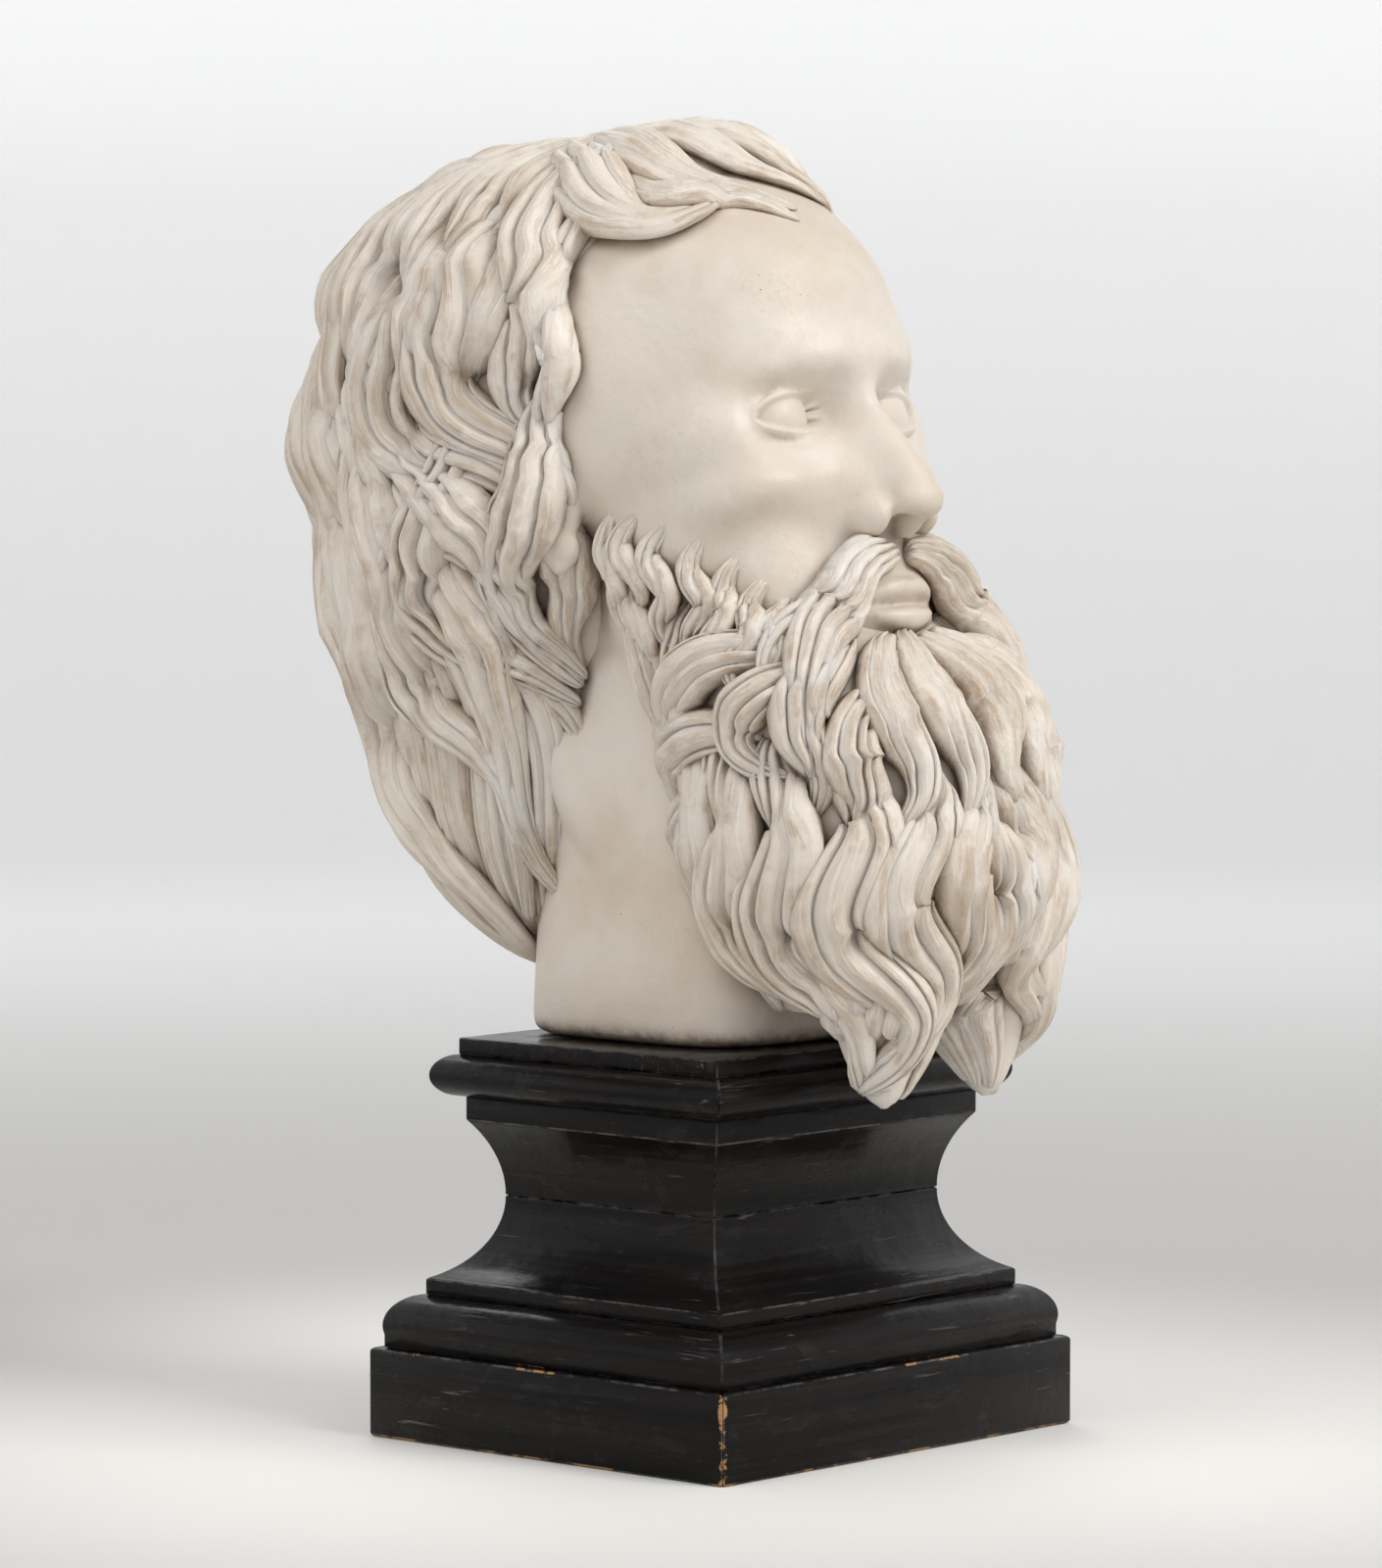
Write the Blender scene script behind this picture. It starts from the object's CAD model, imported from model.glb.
import math
import random

import bmesh
import bpy
import numpy as np
from mathutils import Matrix, Vector
from mathutils.bvhtree import BVHTree


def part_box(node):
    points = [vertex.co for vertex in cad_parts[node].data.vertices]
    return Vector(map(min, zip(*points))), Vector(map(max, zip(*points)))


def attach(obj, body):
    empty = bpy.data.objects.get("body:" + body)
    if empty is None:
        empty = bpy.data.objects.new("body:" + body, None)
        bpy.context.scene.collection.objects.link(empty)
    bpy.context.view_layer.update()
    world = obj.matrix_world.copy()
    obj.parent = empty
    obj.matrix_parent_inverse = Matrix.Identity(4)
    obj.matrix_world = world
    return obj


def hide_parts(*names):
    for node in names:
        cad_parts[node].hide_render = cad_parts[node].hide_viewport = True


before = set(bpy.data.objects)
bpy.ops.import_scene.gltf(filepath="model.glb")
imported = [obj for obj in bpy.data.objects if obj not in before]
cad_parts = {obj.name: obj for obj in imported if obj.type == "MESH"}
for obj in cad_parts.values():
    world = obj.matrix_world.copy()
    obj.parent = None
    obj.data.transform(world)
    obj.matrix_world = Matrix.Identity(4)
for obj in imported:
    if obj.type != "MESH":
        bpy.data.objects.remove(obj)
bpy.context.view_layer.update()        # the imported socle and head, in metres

mm = 0.001
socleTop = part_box("cap_board")[1][2]        # the neck stands at this height


# materials

class Finish:
    # one material and the nodes that it is wired from
    def __init__(self, name):
        self.material = bpy.data.materials.new(name)
        self.material.use_nodes = True
        self.tree = self.material.node_tree
        self.shader = self.tree.nodes["Principled BSDF"]
        self.place = self.add("ShaderNodeTexCoord", {}).outputs["Object"]

    def add(self, kind, inputs, **settings):
        node = self.tree.nodes.new(kind)
        for key, value in settings.items():
            setattr(node, key, value)
        for key, value in inputs.items():
            self.put(node.inputs[key], value)
        return node

    def put(self, socket, value):
        if isinstance(value, bpy.types.NodeSocket):
            self.tree.links.new(value, socket)
        elif socket.type == "RGBA":
            socket.default_value = (*value, 1)
        else:
            socket.default_value = value

    def set(self, **values):
        for key, value in values.items():
            self.put(self.shader.inputs[key.replace("_", " ")], value)

    def stretched(self, scale):
        return self.add("ShaderNodeMapping", {"Vector": self.place, "Scale": scale}).outputs[0]

    def ramp(self, value, low, high, start=0.0, end=1.0):
        return self.add("ShaderNodeMapRange", {0: value, 1: low, 2: high, 3: start, 4: end},
                        interpolation_type="SMOOTHSTEP").outputs[0]

    def noise(self, scale, low=0.0, high=1.0, detail=3, rough=0.55, warp=0.0, vector=None):
        inputs = {"Vector": vector or self.place, "Scale": scale, "Detail": detail, "Roughness": rough,
                  "Distortion": warp}
        return self.ramp(self.add("ShaderNodeTexNoise", inputs).outputs[0], low, high)

    def cells(self, scale, low, high):
        inputs = {"Vector": self.place, "Scale": scale}
        return self.ramp(self.add("ShaderNodeTexVoronoi", inputs).outputs["Distance"], low, high)

    def maths(self, operation, a, b):
        return self.add("ShaderNodeMath", {0: a, 1: b}, operation=operation).outputs[0]

    def times(self, *values):
        total = values[0]
        for value in values[1:]:
            total = self.maths("MULTIPLY", total, value)
        return total

    def near(self, spot, radius, soft, vector=None):
        # 1 round a place in metres, 0 beyond it
        gap = self.add("ShaderNodeVectorMath", {0: vector or self.place, 1: spot}, operation="DISTANCE")
        return self.ramp(gap.outputs["Value"], radius + soft, radius)

    def mark(self, name, output="Fac"):
        return self.add("ShaderNodeAttribute", {}, attribute_name=name).outputs[output]

    def blend(self, under, over, amount):
        node = self.add("ShaderNodeMix", {}, data_type="RGBA")
        self.put(node.inputs[0], amount)
        self.put(node.inputs[6], under)
        self.put(node.inputs[7], over)
        return node.outputs[2]

    def bump(self, height, strength, distance, under=None):
        inputs = {"Height": height, "Strength": strength, "Distance": distance}
        if under:
            inputs["Normal"] = under
        return self.add("ShaderNodeBump", inputs).outputs[0]


def makeMarble():
    tone = {"clean": (0.70, 0.635, 0.56), "warm": (0.58, 0.475, 0.365), "patina": (0.44, 0.32, 0.215),
            "crystal": (0.84, 0.785, 0.715), "dirt": (0.16, 0.115, 0.075), "pit": (0.09, 0.06, 0.04),
            "chip": (0.93, 0.92, 0.90)}
    look = Finish("marble")
    groove = look.mark("groove")
    ridge = look.ramp(groove, 0.35, 0.0)
    color = look.blend(tone["clean"], tone["warm"], look.times(look.noise(9, 0.42, 0.66, 4), 0.62))
    hairy = look.ramp(groove, 0.0, 0.02)
    color = look.blend(color, tone["crystal"], look.times(hairy, 0.36))
    rubbed = look.maths("ADD", look.times(ridge, hairy, 0.74), 0.12)
    patina = look.times(look.noise(26, 0.40, 0.64, 6, 0.65, 0.6), rubbed)
    color = look.blend(color, tone["patina"], patina)
    color = look.blend(color, tone["crystal"], look.times(look.ramp(groove, 0.35, 0.85), 0.75))
    speckle = look.noise(420, 0.50, 0.72, 5, 0.7)
    color = look.blend(color, tone["patina"], look.times(speckle, look.noise(14, 0.45, 0.70), 0.30))
    shelter = look.add("ShaderNodeAmbientOcclusion", {"Distance": 0.022}, samples=6).outputs["AO"]
    veil = look.times(look.ramp(shelter, 0.78, 0.30), look.noise(120, 0.2, 0.6, 4), 0.42)
    color = look.blend(color, tone["patina"], veil)
    dirt = look.times(look.ramp(shelter, 0.54, 0.10), look.noise(38, 0.25, 0.58, 5, 0.65), 0.88)
    color = look.blend(color, tone["dirt"], dirt)
    height = look.add("ShaderNodeSeparateXYZ", {0: look.place}).outputs[2]
    neckEdge = look.ramp(height, socleTop + 0.010, socleTop + 0.001)
    foot = look.times(neckEdge, look.noise(90, 0.38, 0.62, 5, 0.7))
    bare = look.maths("SUBTRACT", 1.0, hairy)
    color = look.blend(color, tone["dirt"], look.times(foot, bare, 0.8))
    comb = {"Vector": look.mark("comb", "Vector"), "Scale": (1, 0.10, 9)}
    combed = look.add("ShaderNodeMapping", comb).outputs[0]
    streaks = look.noise(620, 0.36, 0.64, 3, 0.6, 0.0, combed)
    color = look.blend(color, tone["crystal"], look.times(look.ramp(streaks, 0.55, 1.0), hairy, 0.34))
    pits = look.times(look.cells(260, 0.11, 0.05), look.noise(19, 0.60, 0.68))
    color = look.blend(color, tone["pit"], look.times(pits, look.noise(700, 0.35, 0.5), 0.8))
    chips = 0.0
    for spot in ((-0.103, 0.036, 0.438), (-0.099, 0.018, 0.463), (0.098, 0.075, 0.39)):
        chips = look.maths("MAXIMUM", chips, look.near(spot, 0.001, 0.006))
    chips = look.ramp(look.times(chips, look.noise(330, 0.2, 0.6)), 0.24, 0.30)
    color = look.blend(color, tone["chip"], chips)
    rough = look.noise(60, 0.3, 0.7, 4)
    grain = look.bump(look.noise(1500, 0.2, 0.8, 2), 0.10, 0.0004)
    uneven = look.bump(look.noise(110, 0.2, 0.8, 4), 0.22, 0.0011, grain)
    uneven = look.bump(look.times(streaks, hairy), 0.42, 0.0012, uneven)
    normal = look.bump(look.maths("SUBTRACT", 1.0, pits), 0.7, 0.0008, uneven)
    look.set(Base_Color=color, Roughness=look.ramp(rough, 0, 1, 0.42, 0.62), Normal=normal)
    look.set(Subsurface_Weight=0.22, Subsurface_Radius=(0.9, 0.65, 0.42), Subsurface_Scale=0.006)
    return look.material


def makePaint(name, along):
    # black stain and polish on joinery; the grain runs along one axis
    tone = {"black": (0.0050, 0.0047, 0.0046), "brown": (0.018, 0.014, 0.012),
            "grey": (0.040, 0.038, 0.037), "raw": (0.36, 0.20, 0.09), "dust": (0.11, 0.105, 0.10)}
    look = Finish(name)
    grainScale = (6, 190, 190) if along == "x" else (190, 6, 190)
    rubScale = (18, 60, 30) if along == "x" else (60, 18, 30)
    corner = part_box("plinth_front")[0]
    edge = look.mark("edge")
    grain = look.noise(1, 0.30, 0.72, 5, 0.6, 0.4, look.stretched(grainScale))
    rub = look.noise(1, 0.52, 0.74, 6, 0.7, 1.2, look.stretched(rubScale))
    color = look.blend(tone["black"], tone["brown"], look.times(grain, 0.5))
    color = look.blend(color, tone["grey"], look.times(rub, grain, 0.55))
    thin = look.stretched((30, 500, 420) if along == "x" else (500, 30, 420))
    scratch = look.times(look.noise(1, 0.66, 0.72, 2, 0.5, 0.8, thin), look.noise(16, 0.45, 0.62))
    color = look.blend(color, tone["dust"], look.times(scratch, 0.8))
    worn = look.times(look.ramp(edge, 0.25, 0.8), look.noise(70, 0.42, 0.60, 5, 0.7))
    color = look.blend(color, tone["dust"], look.times(worn, 0.75))
    upright = look.near((corner[0], corner[1], 0.0), 0.0008, 0.0030, look.stretched((1, 1, 0)))
    bare = look.ramp(look.times(upright, look.noise(60, 0.42, 0.62, 5, 0.75)), 0.24, 0.32)
    skirt = look.add("ShaderNodeSeparateXYZ", {0: look.place}).outputs[2]
    foot = look.times(look.ramp(skirt, 0.0045, 0.001), look.noise(40, 0.52, 0.58, 5),
                      look.ramp(edge, 0.05, 0.4))
    lip = look.times(look.ramp(edge, 0.2, 0.7), look.noise(24, 0.60, 0.63, 5, 0.7),
                     look.ramp(skirt, 0.045, 0.040))
    raw = look.maths("MAXIMUM", look.maths("MAXIMUM", bare, foot), lip)
    color = look.blend(color, tone["raw"], raw)
    smear = look.ramp(look.maths("ADD", look.times(rub, 0.6), look.times(grain, 0.4)), 0, 1, 0.20, 0.46)
    brush = look.bump(grain, 0.16, 0.0005)
    normal = look.bump(look.noise(45, 0.2, 0.8, 3), 0.25, 0.0012, brush)
    normal = look.bump(look.maths("SUBTRACT", 1.0, scratch), 0.35, 0.0003, normal)
    look.set(Base_Color=color, Roughness=look.maths("MAXIMUM", smear, look.times(raw, 0.75)), Normal=normal)
    look.set(Coat_Weight=0.03, Coat_Roughness=0.18, Specular_IOR_Level=0.10)
    return look.material


def makeSoftwood():
    look = Finish("softwood")
    rings = look.noise(1, 0.35, 0.65, 4, 0.5, 1.5, look.stretched((12, 260, 120)))
    color = look.blend((0.50, 0.32, 0.16), (0.34, 0.19, 0.08), rings)
    color = look.blend(color, (0.22, 0.14, 0.08), look.times(look.noise(30, 0.5, 0.7), 0.5))
    look.set(Base_Color=color, Roughness=0.72, Normal=look.bump(rings, 0.3, 0.0005))
    return look.material


def makeIron():
    look = Finish("iron")
    rust = look.noise(240, 0.42, 0.62, 6, 0.7)
    color = look.blend((0.10, 0.095, 0.09), (0.16, 0.07, 0.035), rust)
    look.set(Base_Color=color, Metallic=0.75, Roughness=look.ramp(rust, 0, 1, 0.45, 0.85),
             Normal=look.bump(rust, 0.4, 0.0004))
    return look.material


def makePlaster():
    look = Finish("plaster")
    lumps = look.noise(160, 0.3, 0.7, 5, 0.7)
    color = look.blend((0.72, 0.69, 0.62), (0.55, 0.51, 0.44), lumps)
    look.set(Base_Color=color, Roughness=0.9, Normal=look.bump(lumps, 0.5, 0.0008))
    return look.material


# camera, light and floor

camera = {
    "azimuth": 48.3,        # degrees to the figure's right of straight ahead
    "downward": 3.65,
    "distance": 2.94,
    "height": 0.4669,
    "aside": -0.0135,
    "lens": 157.5,
}

studio = {
    "table": (0.83, 0.815, 0.775),       # floor near the pedestal
    "shade": (0.50, 0.49, 0.475),        # where the floor turns up
    "wall": (0.92, 0.92, 0.92),
    "tableEnd": (0.18, 0.42),            # metres from the middle, and how softly it ends
    "shadeEnd": (0.7, 2.2),
    "aim": (0, 0, 0.32),                 # where the lamps point
    "key": {"place": (0.5, -2.5, 2.7), "size": 1.5, "power": 76},
    "fill": {"place": (-2.3, 0.1, 2.9), "size": 1.8, "power": 36},
    "rim": {"place": (1.7, 2.2, 2.5), "size": 1.6, "power": 20},
    "glow": 0.23,                        # of the wall by itself
    "sky": 0.22,
    "sweep": {"flat": 3.3, "bend": 1.0, "wall": 2.4},
}


def aimAt(obj, target):
    obj.rotation_euler = (Vector(target) - obj.location).to_track_quat("-Z", "Y").to_euler()


def makeCamera():
    data = bpy.data.cameras.new("camera")
    data.lens = camera["lens"]
    obj = bpy.data.objects.new("camera", data)
    bpy.context.scene.collection.objects.link(obj)
    yaw = math.radians(camera["azimuth"])
    ahead = Vector((math.sin(yaw), math.cos(yaw), 0))
    aside = Vector((math.cos(yaw), -math.sin(yaw), 0))
    obj.location = -ahead * camera["distance"] + aside * camera["aside"] + Vector((0, 0, camera["height"]))
    obj.rotation_euler = (math.radians(90 - camera["downward"]), 0, -yaw)
    bpy.context.scene.camera = obj


def makeStudio():
    # a pale floor that rises into a round wall, and soft lights
    look = Finish("paleSweep")
    color = look.blend(studio["shade"], studio["table"], look.near((0, 0, 0), *studio["tableEnd"]))
    height = look.add("ShaderNodeSeparateXYZ", {0: look.place}).outputs[2]
    far = look.maths("SUBTRACT", 0.8, look.times(look.near((0, 0, 0), *studio["shadeEnd"]), 0.8))
    color = look.blend(color, studio["wall"], look.maths("MAXIMUM", far, look.ramp(height, 0.0, 0.85)))
    look.set(Base_Color=color, Roughness=0.8, Emission_Color=studio["wall"])
    look.set(Emission_Strength=look.ramp(height, -0.1, 0.9, 0, studio["glow"]))
    sweep = studio["sweep"]
    bend = [(sweep["flat"] + sweep["bend"] * math.sin(a), sweep["bend"] * (1 - math.cos(a)))
            for a in np.linspace(0, math.pi / 2, 13)]
    reach, rise = bend[-1]
    bm = bmesh.new()
    outline = [bm.verts.new((r, 0, h)) for r, h in [(0, 0), *bend, (reach, rise + sweep["wall"])]]
    edges = [bm.edges.new(pair) for pair in zip(outline[:-1], outline[1:])]
    bmesh.ops.spin(bm, geom=outline + edges, axis=(0, 0, 1), cent=(0, 0, 0), angle=math.tau,
                   steps=96, use_merge=True)
    bmesh.ops.remove_doubles(bm, verts=bm.verts[:], dist=1e-5)
    bmesh.ops.recalc_face_normals(bm, faces=bm.faces[:])
    floor = meshObject("floor", bm, look.material)
    for name in ("key", "fill", "rim"):
        lamp = studio[name]
        data = bpy.data.lights.new(name, "AREA")
        data.size = lamp["size"]
        data.energy = lamp["power"]
        obj = bpy.data.objects.new(name, data)
        bpy.context.scene.collection.objects.link(obj)
        obj.location = lamp["place"]
        aimAt(obj, studio["aim"])
    world = bpy.data.worlds.new("studio")
    bpy.context.scene.world = world
    world.use_nodes = True
    sky = world.node_tree.nodes["Background"]
    sky.inputs["Color"].default_value = (0.90, 0.93, 0.97, 1)
    sky.inputs["Strength"].default_value = studio["sky"]


# mesh helpers

def meshObject(name, bm, material):
    mesh = bpy.data.meshes.new(name)
    bm.to_mesh(mesh)
    bm.free()
    mesh.materials.append(material)
    obj = bpy.data.objects.new(name, mesh)
    bpy.context.scene.collection.objects.link(obj)
    mesh.shade_smooth()
    return obj


def addBlob(bm, centre, radii, place=Matrix(), detail=4):
    shape = Matrix.Diagonal((*[r * mm for r in radii], 1))
    where = place @ Matrix.Translation(Vector(centre) * mm) @ shape
    bmesh.ops.create_icosphere(bm, subdivisions=detail, radius=1, matrix=where)


def addAll(bm, more):
    # moves everything from one bmesh into another
    mesh = bpy.data.meshes.new("moving")
    more.to_mesh(mesh)
    more.free()
    bm.from_mesh(mesh)
    bpy.data.meshes.remove(mesh)


def fuse(bm, voxel, smoothing=0, keep=1):
    # joins overlapping shells into one skin; keep is the share of its faces left after thinning
    mesh = bpy.data.meshes.new("fusing")
    bm.to_mesh(mesh)
    bm.free()
    obj = bpy.data.objects.new("fusing", mesh)
    bpy.context.scene.collection.objects.link(obj)
    remesh = obj.modifiers.new("remesh", "REMESH")
    remesh.mode = "VOXEL"
    remesh.voxel_size = voxel * mm
    remesh.use_smooth_shade = True
    if smoothing:
        relax = obj.modifiers.new("relax", "SMOOTH")
        relax.factor = 0.5
        relax.iterations = smoothing
    if keep < 1:
        thin = obj.modifiers.new("thin", "DECIMATE")
        thin.ratio = keep
    graph = bpy.context.evaluated_depsgraph_get()
    fused = bmesh.new()
    fused.from_mesh(obj.evaluated_get(graph).to_mesh())
    bpy.data.objects.remove(obj)
    bpy.data.meshes.remove(mesh)
    return fused


def catmull(points, count):
    # evenly spread points on a smooth curve through the given ones
    pts = np.array(points, float)
    padded = np.vstack([2 * pts[0] - pts[1], pts, 2 * pts[-1] - pts[-2]])
    fine = []
    for k in range(len(pts) - 1):
        a, b, c, d = padded[k:k + 4]
        for t in np.linspace(0, 1, 24, endpoint=False):
            fine.append(0.5 * (2 * b + (c - a) * t + (2 * a - 5 * b + 4 * c - d) * t ** 2
                               + (3 * b - a - 3 * c + d) * t ** 3))
    fine.append(pts[-1])
    fine = np.array(fine)
    run = np.concatenate([[0], np.cumsum(np.linalg.norm(np.diff(fine, axis=0), axis=1))])
    at = np.linspace(0, run[-1], count)
    return np.stack([np.interp(at, run, fine[:, i]) for i in range(fine.shape[1])], 1)


def relaxed(values, passes):
    out = np.array(values, float)
    for _ in range(passes):
        out[1:-1] = 0.25 * out[:-2] + 0.5 * out[1:-1] + 0.25 * out[2:]
    return out


# carved locks

def lockSection(strands, depth):
    # outline of a lock, across and up: strands of uneven width with sharp valleys, plain underneath
    shares = np.cumsum([0] + [random.uniform(0.6, 1.6) for _ in range(strands)])
    across, ridges = [], []
    for a, b in zip(shares[:-1], shares[1:]):
        for t in (0, 0.1, 0.3, 0.55, 0.8):
            across.append(a + (b - a) * t)
            ridges.append(math.sin(math.pi * t) ** 0.6)
    across = np.array(across + [shares[-1]]) * 2 / shares[-1] - 1
    across = np.sin(across * math.pi / 2) * 0.55 + across * 0.45
    ridges = np.array(ridges + [0])
    crown = np.sqrt(np.maximum(0, 1 - across ** 2))
    top = crown * (1 - depth) + crown ** 0.6 * ridges * depth
    under = np.array((0.6, 0, -0.6))
    return (np.concatenate([across, under]), np.concatenate([top, [-0.3, -0.45, -0.3]]),
            np.concatenate([(1 - ridges) * crown ** 0.3, [1, 1, 1]]))


# how far a lock leans over in its bends, and the most that it does, in radians
lockRoll = {"scale": 0.12, "share": 0.6, "most": 0.7}


def addLock(bm, path, normals, width, height, strands=4, depth=0.36, start=0.3, end=0.05, swell=0.45):
    # a grid rolled into a tube along a path: narrow at the root, full in the middle, pointed at the tip
    count = len(path)
    across, up, groove = lockSection(strands, depth)
    ring = len(across)
    along = np.gradient(path, axis=0)
    along /= np.linalg.norm(along, axis=1)[:, None]
    side = np.cross(along, normals)
    side /= np.linalg.norm(side, axis=1)[:, None]
    lift = np.cross(side, along)
    bend = relaxed(np.gradient(along, axis=0), 3)
    lean = -(bend * side).sum(1) * count * lockRoll["scale"] * lockRoll["share"]
    lean = np.clip(lean, -lockRoll["most"], lockRoll["most"])
    c, s = np.cos(lean)[:, None], np.sin(lean)[:, None]
    side, lift = side * c + lift * s, lift * c - side * s
    t = np.linspace(0, 1, count)
    opening = start + (1 - start) * np.minimum(1, t / swell) ** 0.7
    closing = end + (1 - end) * np.minimum(1, (1 - t) / (1 - swell)) ** 0.8
    size = opening * closing
    size[0] = size[-1] = 0
    w = width * 0.5 * size * mm
    h = height * np.sqrt(size) * (0.35 + 0.65 * np.minimum(opening, closing)) * mm
    rings = (path[:, None, :] + side[:, None, :] * (across[None, :] * w[:, None])[..., None]
             + lift[:, None, :] * (up[None, :] * h[:, None])[..., None])
    lock = bmesh.new()
    mark = lock.verts.layers.float.new("groove")
    comb = lock.verts.layers.float_vector.new("comb")
    offset = random.random()
    grid = bmesh.ops.create_grid(lock, x_segments=ring, y_segments=count - 1, size=1)["verts"]
    for k, v in enumerate(grid):
        row, column = divmod(k, ring + 1)
        v.co = rings[row, column % ring]
        v[mark] = 0.05 + 0.95 * groove[column % ring]
        v[comb] = (across[column % ring] * width * 0.5 * mm, row * 0.003, offset)
    bmesh.ops.remove_doubles(lock, verts=lock.verts[:], dist=1e-7)
    addAll(bm, lock)


class Surface:
    # finds points on a mass, by a direction from a centre or by an angle and a height round an axis
    def __init__(self, bm):
        self.tree = BVHTree.FromBMesh(bm)

    def cast(self, start, direction, reach):
        place, normal, _, _ = self.tree.ray_cast(start + direction * reach, -direction)
        if place is None:
            place, normal, _, _ = self.tree.find_nearest(start + direction * min(reach, 0.1))
        return place, normal

    def lay(self, controls, centre, count, wave=None, rise=0.0, reach=0.5):
        # a smooth path over the mass; wave = sideways mm, waves along the path, phase
        if len(centre) == 3:
            spots = catmull([direction(*c) for c in controls], count)
            found = [self.cast(Vector(centre) * mm, Vector(s).normalized(), reach) for s in spots]
        else:
            spots = catmull(controls, count)
            found = [self.cast(Vector((*centre, h)) * mm, Vector(direction(a, 0)), reach) for a, h in spots]
        path, normals = relaxed([f[0] for f in found], 2), relaxed([f[1] for f in found], 6)
        if wave:
            side = np.cross(np.gradient(path, axis=0), normals)
            side /= np.linalg.norm(side, axis=1)[:, None]
            t = np.linspace(0, 1, count)
            swing = wave[0] * mm * np.sin(2 * math.pi * (wave[1] * t + wave[2])) * np.minimum(1, t * 5)
            found = [self.tree.find_nearest(Vector(p)) for p in path + side * swing[:, None]]
            path, normals = relaxed([f[0] for f in found], 3), relaxed([f[1] for f in found], 5)
        normals /= np.linalg.norm(normals, axis=1)[:, None]
        lifted = np.interp(np.linspace(0, 1, count), np.linspace(0, 1, np.size(rise)), np.atleast_1d(rise))
        return path + normals * lifted[:, None] * mm, normals


def direction(azimuth, elevation):
    a, e = math.radians(azimuth), math.radians(elevation)
    return (math.sin(a) * math.cos(e), -math.cos(a) * math.cos(e), math.sin(e))


# head

head = {
    "place": (0, 22, 449),      # middle of the skull
    "lean": 13,                 # degrees, tilted back
    "roughVoxel": 3,
    "fineVoxel": 1.6,
    "keep": 0.62,               # share of the faces left after thinning
    "roughSmoothing": 20,
    "fineSmoothing": 5,
    "neck": {"foot": {"half": (62, 66), "middle": 8, "height": 0, "square": 4},
             "top": {"half": (57, 58), "middle": 18, "height": 160, "square": 2.4}},
}
headTurn = Matrix.Rotation(math.radians(-head["lean"]), 4, "X")
headPlace = Matrix.Translation(Vector(head["place"]) * mm) @ headTurn

# soft forms, in the head's own millimetres: x to the side, y to the back, z up; side forms are made twice
skullForms = [((0, 2, 0), (84, 106, 99)), ((0, -26, -62), (72, 76, 86)), ((0, -72, -138), (27, 29, 24)),
              ((0, -72, -108), (42, 31, 40)), ((0, -84, -4), (30, 18, 22)), ((0, 38, -92), (57, 44, 62))]
sideForms = [((38, -47, -60), (34, 41, 24)), ((36, -20, -94), (30, 50, 48)), ((23, -79, 3), (28, 18, 19)),
             ((50, -34, -34), (27, 50, 32)), ((26, -60, -96), (34, 34, 44))]
neckCords = [((-52, 44, 296), (-45, 4, 240), (-24, -44, 186)),
             ((52, 44, 296), (45, 4, 240), (24, -44, 186))]

nose = {"bridge": [(0, -90, -14), (0, -98, -36), (0, -110, -58), (0, -116, -70)],
        "bridgeWidths": (13, 10.5, 11, 11.5),
        "wall": [(7, -84, -30), (9, -91, -48), (12, -96, -64), (13, -97, -74)],
        "wallWidths": (10, 10, 12, 12),
        "tip": ((0, -116, -74), (12.5, 11.5, 10.5)), "wing": ((15.5, -101, -78), (8, 12.5, 9.5)),
        "pillar": ((0, -108, -84), (4.5, 10, 5))}
eye = {"middle": (33, -70, -31), "ball": 17.5, "lid": (22, 20.5, 18), "reach": 31,
       "width": 60, "upper": 27, "lower": -22,                       # degrees round the ball
       "folds": ((42, 1.9, 4.5), (-36, 0.8, 6))}                     # degrees up, depth, width in degrees
lips = {"upper": ([(-26, -90, -114), (-13, -99, -110), (-4.5, -102.5, -108.5), (0, -102, -109.5),
                   (4.5, -102.5, -108.5), (13, -99, -110), (26, -90, -114)],
                  (1.6, 4.4, 5.0, 4.8, 5.0, 4.4, 1.6)),
        "lower": ([(-25, -90, -116), (-12, -98, -119.5), (0, -101, -121.5), (12, -98, -119.5),
                   (25, -90, -116)],
                  (1.6, 5.2, 6.6, 5.2, 1.6))}
ear = {"rim": [(79, 4, -16), (82, 14, -7), (88, 25, -14), (90, 30, -34), (88, 25, -54), (82, 14, -74)],
       "bowl": ((76, 18, -38), (9, 17, 31)), "lobe": ((80, 13, -66), (6, 9.5, 9.5))}

# strokes that push the surface: where, how far they reach, and the push; also made on the other side
roughStrokes = [((35, -92, -30), (16, 16, 9), (0, 9.5, 0)),       # eye socket
                ((17, -94, -30), (7, 14, 11), (0, 8.0, 0)),       # beside the nose root
                ((27, -98, -9), (19, 12, 6), (0, -4.2, -0.5)),    # brow
                ((52, -84, -12), (9, 12, 8), (1.5, -2.5, 0)),     # outer end of the brow
                ((47, -80, -58), (14, 16, 10), (1.5, -3.2, 0)),   # cheekbone
                ((74, -60, 14), (12, 30, 26), (-4.5, 3, 0)),      # temple
                ((42, -84, -88), (12, 22, 16), (-2, 4.5, 0)),     # hollow of the cheek
                ((22, -98, 34), (22, 20, 16), (0, -2.2, 0)),      # forehead
                ((0, -104, 8), (12, 14, 9), (0, 1.2, 0))]         # over the nose root
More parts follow.
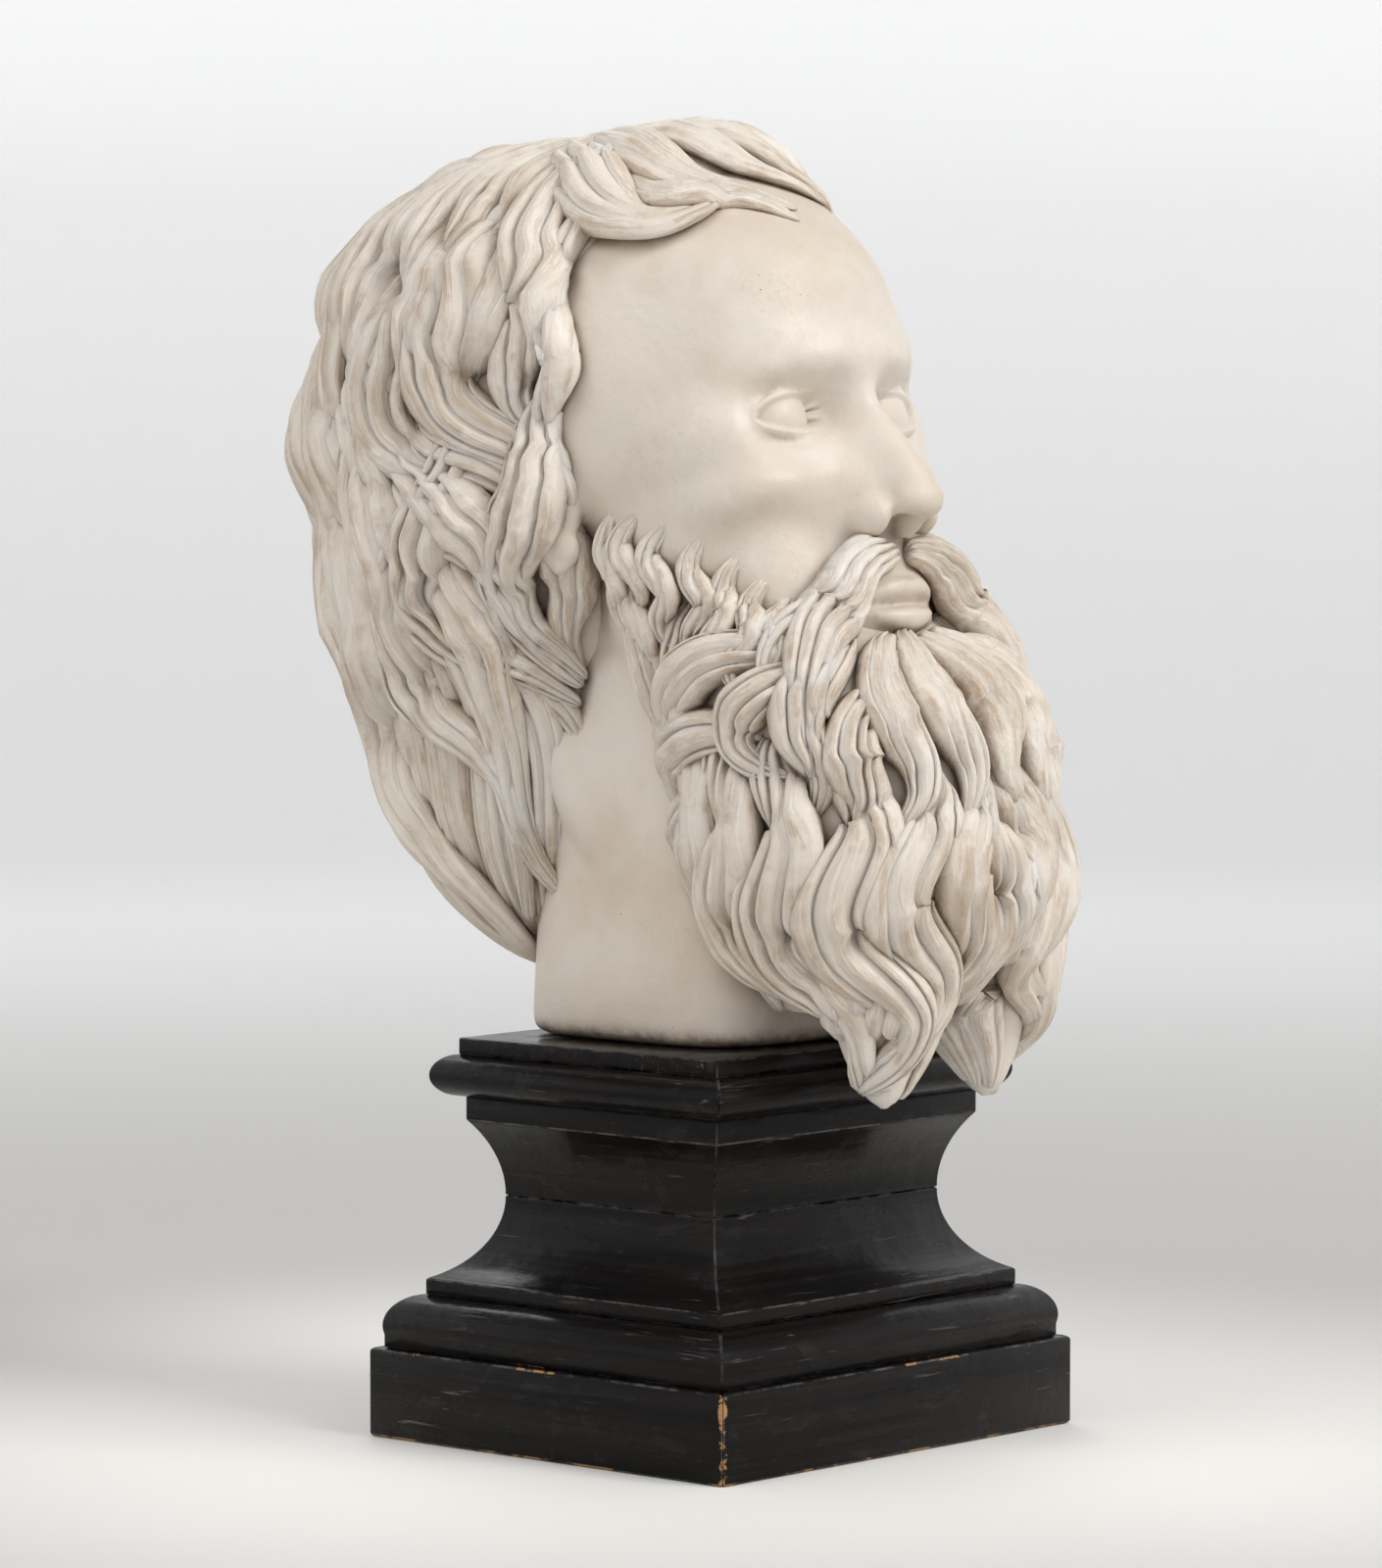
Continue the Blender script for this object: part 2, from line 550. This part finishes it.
fineStrokes = [((6.5, -112, -84.5), (3.1, 5, 2.6), (0, 2, 6)),        # nostril
               ((21.5, -101, -78), (2.4, 7, 7), (-0.6, 2.4, 0)),      # fold round the wing
               ((29, -96, -95), (5, 12, 13), (0, 2.2, 0)),            # fold from nose to mouth
               ((27, -91, -115), (3.4, 7, 3), (0, 2.6, 0)),           # corner of the mouth
               ((11, -103, -115.4), (12, 7, 1.6), (0, 2.6, 0)),       # line between the lips
               ((0, -102, -100), (3.4, 7, 6), (0, 1.2, 0)),           # groove over the lip
               ((0, -100, -132), (18, 12, 5), (0, 3.0, 0)),           # hollow over the chin
               ((40, -88, -52), (14, 10, 4), (0.3, 1.2, 0)),          # under the eye
               ((7, -104, -9), (2.6, 8, 7), (0, 0.9, 0))]             # between the brows


def mirrored(forms):
    return [((side * centre[0], *centre[1:]), radii) for centre, radii in forms for side in (1, -1)]


def addBead(bm, points, widths, place=Matrix(), count=26):
    # a row of close beads, which the fusing turns into a rope of changing width
    path = catmull(points, count)
    size = np.interp(np.linspace(0, 1, count), np.linspace(0, 1, len(widths)), widths)
    for p, r in zip(path, size):
        addBlob(bm, p, (r, r, r), place=place, detail=2)


def stroke(bm, strokes, place):
    # moves points softly; every stroke is also made on the other side
    back = place.inverted()
    bm.verts.ensure_lookup_table()
    spots = np.array([back @ v.co for v in bm.verts]) / mm
    moves = np.zeros_like(spots)
    for where, reach, push in strokes:
        for side in (1, -1):
            flip = np.array((side, 1, 1))
            gap = (spots - np.array(where) * flip) / np.array(reach)
            weight = np.exp(-0.5 * (gap ** 2).sum(1))
            moves += weight[:, None] * np.array(push) * flip * (0.5 if where[0] == 0 else 1)
    turn = np.array(place.to_3x3())
    for v, move in zip(bm.verts, moves @ turn.T * mm):
        v.co += Vector(move)


def openEyes(bm):
    # each lid is a shell over the ball; it is opened along an almond, with a fold over it and one under it
    back = headPlace.inverted()
    for side in (1, -1):
        middle = Vector((eye["middle"][0] * side, *eye["middle"][1:]))
        near = {v for v in bm.verts if (back @ v.co / mm - middle).length < eye["reach"]}
        edges = list({e for v in near for e in v.link_edges if e.other_vert(v) in near})
        bmesh.ops.subdivide_edges(bm, edges=edges, cuts=1, use_grid_fill=True)
        for v in bm.verts:
            spot = back @ v.co / mm - middle
            if spot.length > eye["lid"][0] + 3:
                continue
            across = math.degrees(math.atan2(spot.x * side, -spot.y)) / eye["width"]
            up = math.degrees(math.asin(spot.z / spot.length))
            if abs(across) > 1.25 or spot.y > 0:
                continue
            arch = max(0, 1 - across ** 2)
            high, low = eye["upper"] * arch ** 0.55, eye["lower"] * arch ** 0.75
            inside = min(high - up, up - low)
            length = spot.length
            for middleLine, depth, width in eye["folds"]:
                line = middleLine * (0.25 + 0.75 * arch ** 0.6)
                length -= depth * math.exp(-((up - line) / width) ** 2) * min(1, arch * 2)
            if abs(across) < 1 and inside > 0:
                length += (eye["ball"] - length) * min(1, inside / 3)
            v.co = headPlace @ ((middle + spot.normalized() * length) * mm)


def addNoseTip(bm):
    addBlob(bm, *nose["tip"], place=headPlace)
    addBlob(bm, *nose["pillar"], place=headPlace)
    for where, radii in mirrored([nose["wing"]]):
        addBlob(bm, where, radii, place=headPlace)


def addEars(bm):
    for side in (1, -1):
        flip = [(x * side, y, z) for x, y, z in ear["rim"]]
        addBead(bm, flip, (3.2, 3.6, 4.0, 3.6, 3.4, 4.0), headPlace)
        for where, radii in (ear["bowl"], ear["lobe"]):
            addBlob(bm, (where[0] * side, *where[1:]), radii, place=headPlace)


def addNeck(bm):
    # a rounded square column that turns rounder and moves back towards the skull
    neck = head["neck"]
    cone = bmesh.ops.create_cone(bm, cap_ends=True, segments=96, radius1=1, radius2=1, depth=1)
    for v in cone["verts"]:
        end = neck["top"] if v.co.z > 0 else neck["foot"]
        angle = math.atan2(v.co.y, v.co.x)
        power = 2 / end["square"]
        x = math.copysign(abs(math.cos(angle)) ** power, math.cos(angle)) * end["half"][0]
        y = math.copysign(abs(math.sin(angle)) ** power, math.sin(angle)) * end["half"][1]
        v.co = Vector((x * mm, (y + end["middle"]) * mm, socleTop + end["height"] * mm))
    for cord in neckCords:
        addBead(bm, cord, (18, 16, 12))


def addSkull(bm):
    for centre, radii in skullForms + mirrored(sideForms):
        addBlob(bm, centre, radii, place=headPlace)


def makeHead():
    bm = bmesh.new()
    addSkull(bm)
    addNeck(bm)
    addBead(bm, nose["bridge"], nose["bridgeWidths"], headPlace)
    for side in (1, -1):
        addBead(bm, [(x * side, y, z) for x, y, z in nose["wall"]], nose["wallWidths"], headPlace)
    bm = fuse(bm, head["roughVoxel"], head["roughSmoothing"])
    stroke(bm, roughStrokes, headPlace)
    details = bmesh.new()
    for centre, radii in mirrored([(eye["middle"], eye["lid"])]):
        addBlob(details, centre, radii, place=headPlace)
    addNoseTip(details)
    addEars(details)
    for rope, widths in lips.values():
        addBead(details, rope, widths, headPlace)
    addAll(bm, details)
    bm = fuse(bm, head["fineVoxel"], head["fineSmoothing"], head["keep"])
    stroke(bm, fineStrokes, headPlace)
    bmesh.ops.smooth_vert(bm, verts=bm.verts[:], factor=0.5,
                          use_axis_x=True, use_axis_y=True, use_axis_z=True)
    openEyes(bm)
    return bm


# hair and beard masses that the locks lie on

# height above the socle, front, back, half width
hairLevels = [(28, 30, 82, 26), (44, 24, 106, 45), (68, 20, 132, 58), (94, 16, 144, 67), (128, 12, 149, 71),
              (168, 6, 161, 78), (208, -4, 182, 88), (248, -18, 198, 95), (283, -22, 194, 94),
              (313, -22, 178, 87), (340, -22, 156, 76), (362, -20, 126, 60), (375, -10, 92, 42),
              (382, 6, 66, 26), (385, 28, 46, 8)]
beardLevels = [(14, -116, -50, 40), (30, -136, -40, 54), (55, -147, -30, 63), (80, -150, -24, 67),
               (110, -145, -16, 71), (140, -134, -10, 72), (160, -120, -4, 71), (178, -100, -10, 63),
               (196, -84, -20, 52), (210, -70, -30, 30)]
pointLevels = [(-22, -122, -116, 3), (-14, -128, -108, 9), (0, -133, -101, 15), (18, -138, -94, 20),
               (40, -138, -92, 22), (60, -132, -96, 14)]
hair = {
    "centre": (0, 60, 440),     # locks are placed by direction from here
    "voxel": 4,
    "smoothing": 10,
    "phaseStep": 0.13,          # from one lock of a row to the next
    "otherSide": 0.3,           # more phase on the figure's left
}
beard = {
    "axis": (0, -60),           # locks are placed by azimuth and height round this
    "points": (33, -116),       # middle of each point, to the side and to the front
    "pointReach": 0.030,        # metres, less than half way to the other point
    "voxel": 3.5,
    "smoothing": 6,
    "steps": 60,
}


def addRingMass(bm, levels, aside=0, square=2.2):
    # a round mass whose front, back and half width follow the levels
    rows = np.array(levels, float)
    sphere = bmesh.ops.create_uvsphere(bm, u_segments=72, v_segments=60, radius=1)
    low, high = rows[0, 0], rows[-1, 0]
    for v in sphere["verts"]:
        h = low + (high - low) * (math.asin(max(-1, min(1, v.co.z))) / math.pi + 0.5)
        front, back, half = (np.interp(h, rows[:, 0], rows[:, k]) for k in (1, 2, 3))
        angle = math.atan2(v.co.y, v.co.x)
        flat = 0 if abs(v.co.z) > 0.9999 else 1
        x = half * math.copysign(abs(math.cos(angle)) ** (2 / square), math.cos(angle)) * flat
        y = (back - front) / 2 * math.copysign(abs(math.sin(angle)) ** (2 / square), math.sin(angle)) * flat
        v.co = Vector(((x + aside) * mm, (y + (front + back) / 2) * mm, socleTop + h * mm))


def addHairMass(bm):
    addRingMass(bm, hairLevels)


def addBeardMass(bm):
    addRingMass(bm, beardLevels)
    for side in (-1, 1):
        addRingMass(bm, pointLevels, aside=beard["points"][0] * side, square=2)


def sheltered(bm):
    # the mass shows only between the locks, so it takes the finish of a groove
    mark = bm.verts.layers.float.new("groove")
    for v in bm.verts:
        v[mark] = 0.3
    return bm


def makeSkin():
    # everything the locks lie on
    bm = bmesh.new()
    addHairMass(bm)
    addBeardMass(bm)
    addSkull(bm)
    return Surface(fuse(bm, beard["voxel"], beard["smoothing"]))


# azimuth and elevation from the hair's centre, on the figure's right; the other side is mirrored;
# then the wave (sideways mm, how many, phase), width, height, strands and bluntness of the tip
sideLocks = [
    ([(-130, 82), (-146, 54), (-146, 30), (-136, 12), (-134, -6), (-126, -22), (-118, -38)],
     (9, 2.6, 0.2), 46, 18, 4, 0.2),
    ([(-100, 80), (-128, 56), (-136, 32), (-118, 14), (-120, -2), (-111, -16), (-97, -28), (-93, -40)],
     (4, 2.6, 0), 44, 20, 4, 0.2),
    ([(-106, -26), (-98, -40), (-96, -52), (-86, -62), (-82, -72), (-70, -77)],
     (5, 1.4, 0.1), 36, 18, 4, 0.1),
    ([(-96, -30), (-84, -42), (-84, -54), (-72, -62), (-62, -70)], (4, 1.2, 0.6), 30, 17, 4, 0.1),
    ([(-72, 76), (-106, 60), (-116, 42), (-103, 25), (-113, 8), (-110, -9), (-92, -14), (-70, -25),
      (-66, -40)], (3, 2.2, 0.1), 44, 20, 4, 0.1),
    ([(-114, -2), (-104, -18), (-88, -26), (-82, -36), (-84, -46), (-74, -56), (-60, -61)],
     (4, 1.6, 0.5), 38, 20, 4, 0.1),
    ([(-48, 73), (-80, 62), (-96, 48), (-90, 35), (-99, 19), (-99, 5), (-80, -6), (-62, -18), (-66, -32)],
     (3, 2.4, 0.6), 40, 21, 4, 0.1),
    ([(-34, 64), (-60, 58), (-76, 48), (-75, 37), (-65, 24), (-78, 9), (-73, -3), (-60, -12)],
     (2, 2, 0.1), 34, 20, 3, 0.1),
    ([(-50, 56), (-58, 47), (-67, 36), (-65, 24), (-59, 10), (-67, -2), (-61, -14), (-64, -26)],
     None, 18, 15, 2, 0.1),
    ([(-96, 58), (-92, 40), (-86, 24), (-94, 8), (-88, -8)], (3, 1.2, 0.4), 40, 14, 4, 0.3),
    ([(-65, -22), (-66, -34), (-63, -44), (-67, -53), (-60, -61)], (1, 1.2, 0.1), 28, 15, 3, 0.1),
    # the big S locks under them, from the ear to the nape
    ([(-66, 2), (-70, -16), (-78, -32), (-81, -44), (-73, -53), (-62, -61)], (3, 1.6, 0.1), 34, 22, 4, 0.1),
    ([(-92, -4), (-97, -20), (-108, -33), (-104, -45), (-88, -54), (-76, -60), (-64, -64)],
     (4, 1.6, 0.2), 38, 24, 4, 0.1),
    ([(-118, 4), (-122, -14), (-113, -30), (-110, -43), (-120, -54), (-106, -62), (-88, -68), (-92, -78)],
     (4, 1.8, 0.3), 40, 25, 4, 0.1),
    ([(-140, -14), (-132, -32), (-128, -45), (-140, -56), (-132, -66), (-114, -74), (-108, -84)],
     (5, 1.8, 0.1), 40, 24, 4, 0.1),
    ([(-156, -4), (-162, -22), (-150, -38), (-148, -52), (-160, -64), (-148, -76), (-134, -85)],
     (5, 1.8, 0.5), 40, 23, 4, 0.1),
]
topLocks = [
    ([(150, 80), (70, 80), (36, 66), (34, 54), (44, 44), (57, 38)], 36, 13, 4),
    ([(170, 82), (30, 84), (12, 68), (12, 55), (22, 46), (34, 40)], 34, 12, 4),
    ([(-170, 82), (-30, 82), (-14, 66), (-5, 54), (4, 46), (16, 41)], 34, 11, 4),
    ([(-140, 80), (-62, 74), (-36, 60), (-24, 50), (-13, 43), (-3, 38)], 30, 12, 4),
    ([(-120, 76), (-74, 66), (-56, 53), (-43, 42), (-29, 40), (-18, 45)], 38, 16, 4),
    ([(-50, 60), (-36, 50), (-26, 45), (-18, 44), (-11, 40), (-5, 35)], 20, 10, 3),
]
# rows of locks round the back, from one elevation to another, leaning forward on the way down
backRows = [
    {"from": 80, "to": -22, "lean": 16, "first": 158, "last": 172, "count": 2,
     "wave": (12, 2.4), "phase": 0.0, "width": 50, "height": 17},
    {"from": 16, "to": -56, "lean": 22, "first": 130, "last": 172, "count": 4,
     "wave": (12, 1.9), "phase": 0.45, "width": 46, "height": 18},
    {"from": -18, "to": -82, "lean": 26, "first": 102, "last": 172, "count": 6,
     "wave": (10, 1.5), "phase": 0.2, "width": 40, "height": 17},
]
# locks down the middle of the back: lowest and highest elevation, phase
spineLocks = ((-84, -20, 0.3), (-52, 24, 0.7), (-16, 78, 0.1))


def onSide(run, side, wander=2.5):
    # the figure's right is as given; its left is the mirror of it, with places that wander a little
    loose = wander if side > 0 else 0
    return [(-a * side + random.uniform(-loose, loose), b + random.uniform(-loose, loose)) for a, b in run]


def makeBackHair():
    bm = bmesh.new()
    addHairMass(bm)
    bm = sheltered(fuse(bm, hair["voxel"], hair["smoothing"]))
    locks = bmesh.new()
    for row in reversed(backRows):
        for k in range(row["count"]):
            for side in (-1, 1):
                start = row["first"] + k * (row["last"] - row["first"]) / (row["count"] - 1)
                run = [(row["lean"] * t ** 1.5 - start, row["from"] + (row["to"] - row["from"]) * t)
                       for t in (0, 0.25, 0.5, 0.75, 1)]
                run = onSide(run, side)
                phase = hair["phaseStep"] * k + row["phase"] + (hair["otherSide"] if side > 0 else 0)
                wave = (row["wave"][0] * side, row["wave"][1], phase)
                path, normals = skin.lay(run, hair["centre"], 64, wave, (-4, 1, 1, -3))
                addLock(locks, path, normals, row["width"], row["height"],
                        start=0.5, end=0.25, swell=0.35)
    for low, high, phase in spineLocks:
        run = [(-178, high), (178, (low + high) / 2), (-179, low)]
        path, normals = skin.lay(run, hair["centre"], 64, (11, 2, phase), (-4, 3, 3, -2))
        addLock(locks, path, normals, 44, 18, start=0.5, end=0.25)
    addAll(bm, locks)
    return bm


def makeFrontHair():
    locks = bmesh.new()
    for side in (-1, 1):
        for run, wave, width, height, strands, end in sideLocks:
            # the broad low locks stand prouder
            rise = (-1, 8, 9, 5) if run[-1][1] < -58 and width > 30 else (-2, 3, 4, 1)
            path, normals = skin.lay(onSide(run, side), hair["centre"], 72, wave, rise)
            addLock(locks, path, normals, width, height, strands, depth=0.42, start=0.4, end=end)
    for run, width, height, strands in topLocks:
        path, normals = skin.lay(run, hair["centre"], 60, None, (-4, 1, 1))
        addLock(locks, path, normals, width, height, strands)
    return locks


# azimuth round the beard's axis and height above the socle, on the figure's right, then the wave,
# width, height and strands; the other side is mirrored
beardLocks = [
    ([(-118, 178), (-124, 150), (-122, 120), (-126, 96), (-118, 70), (-108, 44)], (7, 2.0, 0.0), 30, 14, 4),
    ([(-98, 150), (-102, 124), (-102, 98), (-100, 70), (-92, 44), (-80, 18)], (11, 1.9, 0.1), 36, 18, 4),
    ([(-84, 140), (-86, 112), (-84, 84), (-76, 52), (-64, 26), (-50, 0)], (13, 1.85, 0.2), 38, 19, 4),
    ([(-66, 134), (-68, 108), (-62, 78), (-54, 40), (-44, 10), (-37, -15)], (14, 1.8, 0.3), 38, 20, 4),
    ([(-44, 130), (-46, 108), (-42, 80), (-38, 50), (-34, 17), (-32, -18)], (14, 1.75, 0.4), 38, 20, 4),
    ([(-20, 126), (-24, 108), (-26, 82), (-24, 50), (-26, 22), (-29, -6)], (12, 1.7, 0.5), 36, 20, 4),
    ([(-4, 120), (-8, 100), (-10, 76), (-12, 54), (-15, 36), (-19, 18)], (9, 1.6, 0.6), 30, 18, 3),
    ([(-30, 154), (-42, 140), (-45, 122), (-36, 104), (-41, 84)], (3, 1.2, 0.2), 28, 17, 4),
    ([(-40, 182), (-52, 164), (-58, 142), (-49, 122), (-56, 102)], (3, 1.2, 0.5), 28, 16, 4),
    # along the jaw, from the ear down
    ([(-106, 190), (-116, 166), (-106, 144), (-124, 120), (-124, 94), (-112, 66), (-98, 44)],
     (4, 2.2, 0.1), 28, 15, 4),
    ([(-124, 204), (-129, 180), (-125, 154), (-130, 128), (-126, 102), (-124, 78), (-116, 54)],
     (4, 2.6, 0.3), 28, 15, 4),
]
# hooked curls at the jaw and fine ones at the cheek
curls = [
    ([(-60, 168), (-80, 168), (-100, 158), (-112, 142), (-106, 126), (-114, 110)], 28, 16, 4),
    ([(-70, 134), (-88, 136), (-104, 130), (-115, 115), (-110, 100), (-97, 95)], 28, 17, 4),
    ([(-70, 106), (-88, 108), (-106, 99), (-114, 82), (-106, 66), (-111, 48)], 28, 17, 4),
    ([(-48, 158), (-60, 158), (-73, 150), (-79, 136), (-72, 122), (-60, 118)], 24, 15, 4),
    ([(-112, 222), (-119, 208), (-112, 194), (-119, 180), (-113, 164)], 15, 8, 3),
    ([(-101, 216), (-107, 202), (-100, 188), (-107, 174), (-102, 158)], 15, 8, 3),
    ([(-90, 208), (-96, 194), (-89, 181), (-96, 168), (-90, 154)], 16, 9, 3),
    ([(-78, 198), (-84, 186), (-77, 174), (-84, 162), (-78, 150)], 16, 9, 3),
    ([(-67, 190), (-73, 178), (-67, 166), (-72, 154)], 14, 9, 3),
    ([(-122, 206), (-129, 190), (-122, 174), (-129, 158), (-122, 142)], 15, 8, 3),
    ([(-130, 228), (-133, 212), (-128, 200), (-132, 186), (-128, 170)], 14, 8, 3),
    ([(-122, 226), (-127, 212), (-121, 198), (-126, 182)], 14, 8, 3),
]
moustache = [
    ([(-6, 208), (-24, 204), (-48, 188), (-60, 166), (-56, 142), (-50, 118)], (4, 1.2, 0), 30, 17, 4),
    ([(-12, 212), (-34, 206), (-58, 192), (-70, 172), (-66, 152)], (4, 1.0, 0.2), 20, 12, 3),
]
tuft = [
    ([(-4, 176), (-11, 164), (-15, 144), (-8, 122), (-12, 98)], (2, 1, 0), 26, 16, 4),
    ([(-16, 174), (-30, 160), (-34, 138), (-24, 114), (-30, 92)], (4, 1, 0.2), 26, 16, 4),
]
# azimuth round each point's own axis, where 90 faces the other point, and height above the socle
pointLocks = [
    ([(128, 60), (140, 34), (122, 10), (92, -14)], 26, 9, 4),
    ([(88, 62), (104, 38), (86, 12), (58, -16)], 28, 10, 4),
    ([(56, 60), (64, 38), (48, 12), (26, -17)], 24, 9, 3),
]
middleLock = [(2, 118), (-3, 96), (3, 74), (-2, 50), (2, 28), (0, 8)]


def makeBeard():
    bm = bmesh.new()
    addBeardMass(bm)
    bm = sheltered(fuse(bm, beard["voxel"], beard["smoothing"]))
    locks = bmesh.new()
    still = (0, 1, 0)
    for side in (-1, 1):
        rows = [(*row, (-4, 2, 2, 0)) for row in beardLocks]
        rows += [(run, still, *sizes, (-4, 3, 4, 2)) for run, *sizes in curls]
        rows += [(*row, (-2, 2, 5, 4)) for row in tuft]
        rows += [(*row, (0, 4, 7, 5)) for row in moustache]
        for run, wave, width, height, strands, rise in rows:
            spots = [(a, socleTop / mm + h) for a, h in onSide(run, side, 1.5)]
            shift = 0.2 if side > 0 and wave[0] > 8 else 0
            wave = (-wave[0] * side, wave[1], wave[2] + shift)
            path, normals = skin.lay(spots, beard["axis"], beard["steps"], wave, rise)
            addLock(locks, path, normals, width, height, strands, depth=0.42, end=0.12)
    for side in (-1, 1):
        for run, width, height, strands in pointLocks:
            spots = [(-a * side, socleTop / mm + h) for a, h in run]
            middle = (beard["points"][0] * side, beard["points"][1])
            path, normals = skin.lay(spots, middle, beard["steps"], None, (-3, 1, 1, 0),
                                     beard["pointReach"])
            addLock(locks, path, normals, width, height, strands, depth=0.42, end=0.12)
    spots = [(a, socleTop / mm + h) for a, h in middleLock]
    path, normals = skin.lay(spots, beard["axis"], beard["steps"], (5, 1.5, 0), (-4, 1, 1, -3))
    addLock(locks, path, normals, 30, 19)
    addAll(bm, locks)
    return bm


# pedestal

socle = {
    "arris": {"plinth": 1.5, "base_moulding": 0.9, "lower_hollow": 0.8, "upper_hollow": 0.8,
              "bead": 0.9, "cap_board": 0.9},
    "sharp": 24,        # degrees; duller edges are left alone
}


def makeCourse(node, arris, material):
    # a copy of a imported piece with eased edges, which are marked for wear
    bm = bmesh.new()
    bm.from_mesh(bpy.data.objects[node].data)
    bmesh.ops.remove_doubles(bm, verts=bm.verts[:], dist=1e-5)
    bmesh.ops.dissolve_limit(bm, angle_limit=math.radians(2), verts=bm.verts[:], edges=bm.edges[:])
    mark = bm.verts.layers.float.new("edge")
    sharp = [e for e in bm.edges if e.is_manifold and e.calc_face_angle(0) > math.radians(socle["sharp"])]
    made = bmesh.ops.bevel(bm, geom=sharp, offset=arris * mm, offset_type="OFFSET", segments=2, profile=0.5,
                           affect="EDGES", material=-1, clamp_overlap=True)
    rounded = set(made["faces"])
    for v in made["verts"]:
        v[mark] = 1.0 if all(f in rounded for f in v.link_faces) else 0.0
    return meshObject(node + "_wood", bm, material)


def makeSocle(paints):
    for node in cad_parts:
        course, _, side = node.rpartition("_")
        name = node if node == "cap_board" else course
        if name not in socle["arris"]:
            continue
        paint = paints["y"] if side in ("left", "right") else paints["x"]
        piece = makeCourse(node, socle["arris"][name], paint)
        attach(piece, "socle")
        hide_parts(node)


def dressInside(softwood, iron, plaster):
    for node, material in (("base_block", softwood), ("lower_core", softwood), ("upper_core", softwood),
                           ("dowel_pin", iron), ("dowel_setting", plaster)):
        mesh = bpy.data.objects[node].data
        mesh.materials.clear()
        mesh.materials.append(material)


bpy.context.scene.view_settings.view_transform = "Standard"
makeCamera()
makeStudio()
print("studio ready")
marble = makeMarble()
random.seed(11)
skin = makeSkin()
pieces = []
for name, build in (("headStone", makeHead), ("backHairStone", makeBackHair),
                    ("frontHairStone", makeFrontHair), ("beardStone", makeBeard)):
    obj = meshObject(name, build(), marble)
    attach(obj, "head")
    pieces.append(obj)
    print(name, len(obj.data.polygons))
for obj in pieces:
    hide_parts("marble_head")
makeSocle({axis: makePaint("ebonised" + axis.upper(), axis) for axis in ("x", "y")})
dressInside(makeSoftwood(), makeIron(), makePlaster())
print("pedestal ready")
